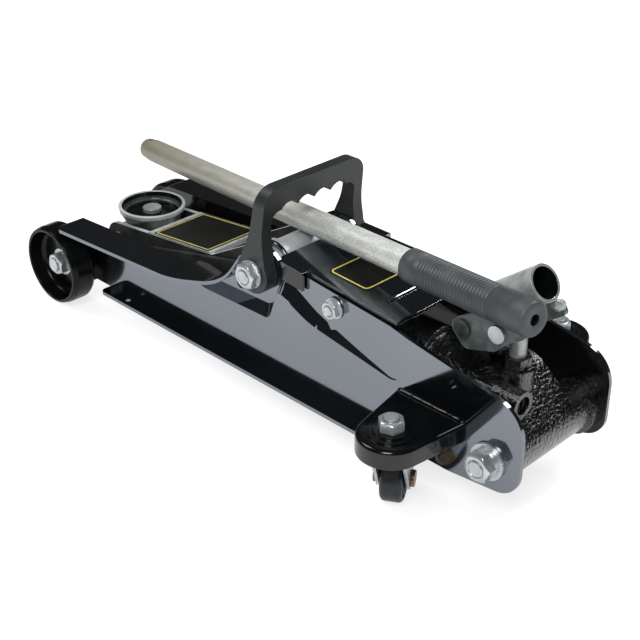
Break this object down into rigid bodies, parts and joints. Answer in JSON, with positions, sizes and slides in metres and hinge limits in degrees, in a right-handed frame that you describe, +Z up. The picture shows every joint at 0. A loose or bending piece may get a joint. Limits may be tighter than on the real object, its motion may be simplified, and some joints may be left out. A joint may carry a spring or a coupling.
{
  "type": "hydraulic trolley jack",
  "caption": "Low hydraulic trolley jack with flanged side plates, lift arm and swivel saddle, carry handle, pump socket, rear casters and a loose pump bar.",
  "frame": {"origin": "on the floor under the middle of the jack's box", "axes": "+X to the rear, -Y the left side, +Z up"},
  "size_m": [0.518, 0.2304, 0.174],
  "materials": {
    "black_enamel": "gloss",
    "silver_paint": "satin",
    "black_paint": "satin",
    "dark_grey_paint": "satin",
    "black_plastic": "matte",
    "zinc_steel": "satin",
    "ground_steel": "polished",
    "grip_rubber": "matte"
  },
  "bodies": {
    "frame": {"left_side_plate": "black_enamel", "right_side_plate": "black_enamel", "left_caster_bracket": "black_enamel", "right_caster_bracket": "black_enamel", "front_axle": "zinc_steel", "front_wheel_spacers": "zinc_steel", "front_axle_washers": "zinc_steel", "front_axle_nuts": "zinc_steel", "arm_pivot_shaft": "zinc_steel", "arm_pivot_collars": "zinc_steel", "link_rear_pins": "black_paint", "carry_handle": "black_plastic", "carry_handle_bolts": "zinc_steel", "cover_plate": "black_enamel", "cover_bolts": "zinc_steel", "unit_body": "black_paint", "hydraulic_cylinder": "black_paint", "filler_plug": "zinc_steel", "return_spring": "zinc_steel", "pump_gland_nut": "black_paint", "rear_bolts": "zinc_steel", "rear_washers": "zinc_steel", "rear_spring_washers": "zinc_steel", "socket_pivot_pin": "black_paint", "caster_races": "zinc_steel", "caster_stems": "zinc_steel", "caster_stem_nuts": "zinc_steel"},
    "left_front_wheel": {"left_front_wheel": "black_paint"},
    "right_front_wheel": {"right_front_wheel": "black_paint"},
    "lift_arm": {"lift_arm": "silver_paint", "arm_hub_rings": "black_plastic", "ram_roller_pin": "zinc_steel", "saddle_pin": "zinc_steel"},
    "ram_roller": {"ram_roller": "zinc_steel"},
    "saddle_base": {"saddle_base": "silver_paint", "saddle_bolt": "zinc_steel", "link_front_pin": "zinc_steel"},
    "saddle": {"saddle": "zinc_steel"},
    "link_rods": {"left_link_rod": "silver_paint", "right_link_rod": "silver_paint"},
    "ram": {"ram": "ground_steel"},
    "pump_plunger": {"pump_plunger": "ground_steel"},
    "release_valve": {"release_valve": "zinc_steel"},
    "handle_socket": {"socket_yoke": "dark_grey_paint", "socket_tube": "zinc_steel", "plunger_push_pin": "zinc_steel"},
    "pump_bar": {"pump_bar": "zinc_steel", "bar_grip": "grip_rubber"},
    "left_caster_fork": {"left_caster_fork": "zinc_steel", "left_caster_axle": "zinc_steel"},
    "left_caster_wheel": {"left_caster_wheel": "black_plastic"},
    "right_caster_fork": {"right_caster_fork": "zinc_steel", "right_caster_axle": "zinc_steel"},
    "right_caster_wheel": {"right_caster_wheel": "black_plastic"}
  },
  "joints": [
    {"name": "arm_lift", "type": "hinge", "parent": "frame", "child": "lift_arm", "pos_m": [0.0105, 0, 0.105], "axis": [0, 1, 0], "range_deg": [0, 70], "deforming": ["return_spring"]},
    {"name": "ram_roller_spin", "type": "hinge", "parent": "lift_arm", "child": "ram_roller", "pos_m": [0.0323, 0, 0.07387], "axis": [0, 1, 0], "continuous": true},
    {"name": "saddle_level", "type": "hinge", "parent": "lift_arm", "child": "saddle_base", "pos_m": [-0.188, 0, 0.058], "axis": [0, 1, 0], "range_deg": [-70, 0]},
    {"name": "saddle_swivel", "type": "hinge", "parent": "saddle_base", "child": "saddle", "pos_m": [-0.176, 0, 0.08], "axis": [0, 0, 1], "continuous": true},
    {"name": "link_swing", "type": "hinge", "parent": "frame", "child": "link_rods", "pos_m": [-0.0075, 0, 0.091], "axis": [0, 1, 0], "range_deg": [0, 70]},
    {"name": "ram_slide", "type": "slide", "parent": "frame", "child": "ram", "axis": [1, 0, 0], "range_m": [-0.0436, 0]},
    {"name": "bar_slide", "type": "slide", "parent": "frame", "child": "pump_bar", "axis": [0.9857, -0.1456, 0.0848], "range_m": [0, 0.84]},
    {"name": "socket_stroke", "type": "hinge", "parent": "frame", "child": "handle_socket", "pos_m": [0.1865, 0, 0.1186], "axis": [0, 1, 0], "range_deg": [0, 22]},
    {"name": "plunger_slide", "type": "slide", "parent": "frame", "child": "pump_plunger", "axis": [0, 0, 1], "range_m": [-0.01099, 0]},
    {"name": "release_turn", "type": "hinge", "parent": "frame", "child": "release_valve", "pos_m": [0.23, -0.02, 0.078], "axis": [1, 0, 0], "range_deg": [0, 180]},
    {"name": "left_front_wheel_spin", "type": "hinge", "parent": "frame", "child": "left_front_wheel", "pos_m": [-0.224, -0.065, 0.035], "axis": [0, 1, 0], "continuous": true},
    {"name": "left_caster_swivel", "type": "hinge", "parent": "frame", "child": "left_caster_fork", "pos_m": [0.1848, -0.0915, 0.05], "axis": [0, 0, 1], "continuous": true},
    {"name": "left_caster_wheel_spin", "type": "hinge", "parent": "left_caster_fork", "child": "left_caster_wheel", "pos_m": [0.1745, -0.07436, 0.018], "axis": [-0.8572, -0.515, 0], "continuous": true},
    {"name": "right_front_wheel_spin", "type": "hinge", "parent": "frame", "child": "right_front_wheel", "pos_m": [-0.224, 0.065, 0.035], "axis": [0, 1, 0], "continuous": true},
    {"name": "right_caster_swivel", "type": "hinge", "parent": "frame", "child": "right_caster_fork", "pos_m": [0.1848, 0.0915, 0.05], "axis": [0, 0, 1], "continuous": true},
    {"name": "right_caster_wheel_spin", "type": "hinge", "parent": "right_caster_fork", "child": "right_caster_wheel", "pos_m": [0.1745, 0.07436, 0.018], "axis": [-0.8572, 0.515, 0], "continuous": true}
  ],
  "couplings": [
    {"joint": "saddle_level", "follows": "arm_lift", "ratio": -1},
    {"joint": "link_swing", "follows": "arm_lift", "ratio": 1},
    {"joint": "ram_slide", "follows": "arm_lift", "m_per_rad": -0.03568},
    {"joint": "bar_slide", "follows": "arm_lift", "m_per_rad": 0.68755},
    {"joint": "plunger_slide", "follows": "socket_stroke", "m_per_rad": -0.028607}
  ]
}
